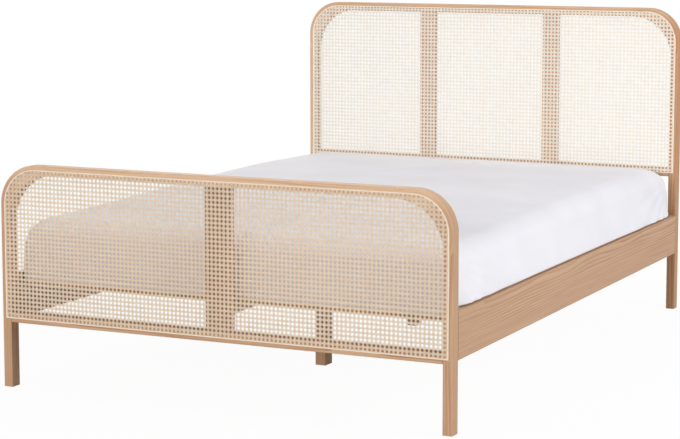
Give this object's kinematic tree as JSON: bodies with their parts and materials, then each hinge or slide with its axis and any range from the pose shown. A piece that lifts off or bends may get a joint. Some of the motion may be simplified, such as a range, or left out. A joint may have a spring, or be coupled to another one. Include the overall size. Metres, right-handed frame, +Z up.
{
  "type": "double bed",
  "caption": "Double bed with arched wooden headboard and footboard filled with woven cane, slatted base, slim square legs, mattress and white fitted sheet.",
  "frame": {"origin": "on the floor, in the middle of the bed's outline", "axes": "+X to the right seen from the foot, +Y from the foot to the head, +Z up"},
  "size_m": [1.46, 2.13, 1.08],
  "materials": {
    "ash_wood": "matt oiled ash",
    "pine_slat": "planed pine",
    "beech_dowel": "turned beech",
    "cane_webbing": "natural woven cane",
    "cane_spline": "natural reed",
    "zinc_steel": "zinc plated",
    "mattress_cover": "knitted cover",
    "white_sheet": "plain cotton"
  },
  "bodies": {
    "bed_frame": {"bracket_screws": "zinc_steel", "centre_beam": "pine_slat", "foot_beam_bracket": "zinc_steel", "foot_bottom_rail": "ash_wood", "foot_cane": "cane_webbing", "foot_centre_stile": "ash_wood", "foot_dowels": "beech_dowel", "foot_left_corner": "ash_wood", "foot_left_post": "ash_wood", "foot_right_corner": "ash_wood", "foot_right_post": "ash_wood", "foot_spline": "cane_spline", "foot_top_rail": "ash_wood", "front_centre_leg": "ash_wood", "head_beam_bracket": "zinc_steel", "head_bottom_rail": "ash_wood", "head_cane": "cane_webbing", "head_dowels": "beech_dowel", "head_left_corner": "ash_wood", "head_left_post": "ash_wood", "head_left_stile": "ash_wood", "head_lower_rail": "ash_wood", "head_right_corner": "ash_wood", "head_right_post": "ash_wood", "head_right_stile": "ash_wood", "head_spline": "cane_spline", "head_top_rail": "ash_wood", "ledge_screws": "zinc_steel", "left_side_rail": "ash_wood", "left_slat_ledge": "pine_slat", "leg_bolts": "zinc_steel", "plate_screws": "zinc_steel", "post_plates": "zinc_steel", "rail_hooks": "zinc_steel", "rear_centre_leg": "ash_wood", "right_side_rail": "ash_wood", "right_slat_ledge": "pine_slat", "slat_01": "pine_slat", "slat_02": "pine_slat", "slat_03": "pine_slat", "slat_04": "pine_slat", "slat_05": "pine_slat", "slat_06": "pine_slat", "slat_07": "pine_slat", "slat_08": "pine_slat", "slat_09": "pine_slat", "slat_10": "pine_slat", "slat_11": "pine_slat", "slat_12": "pine_slat", "slat_13": "pine_slat", "slat_14": "pine_slat", "slat_screws": "zinc_steel"},
    "mattress": {"mattress": "mattress_cover", "fitted_sheet": "white_sheet"}
  },
  "joints": [
    {"name": "mattress_lift", "type": "slide", "parent": "bed_frame", "child": "mattress", "axis": [0, 0, 1], "range_m": [0, 0.4]}
  ]
}
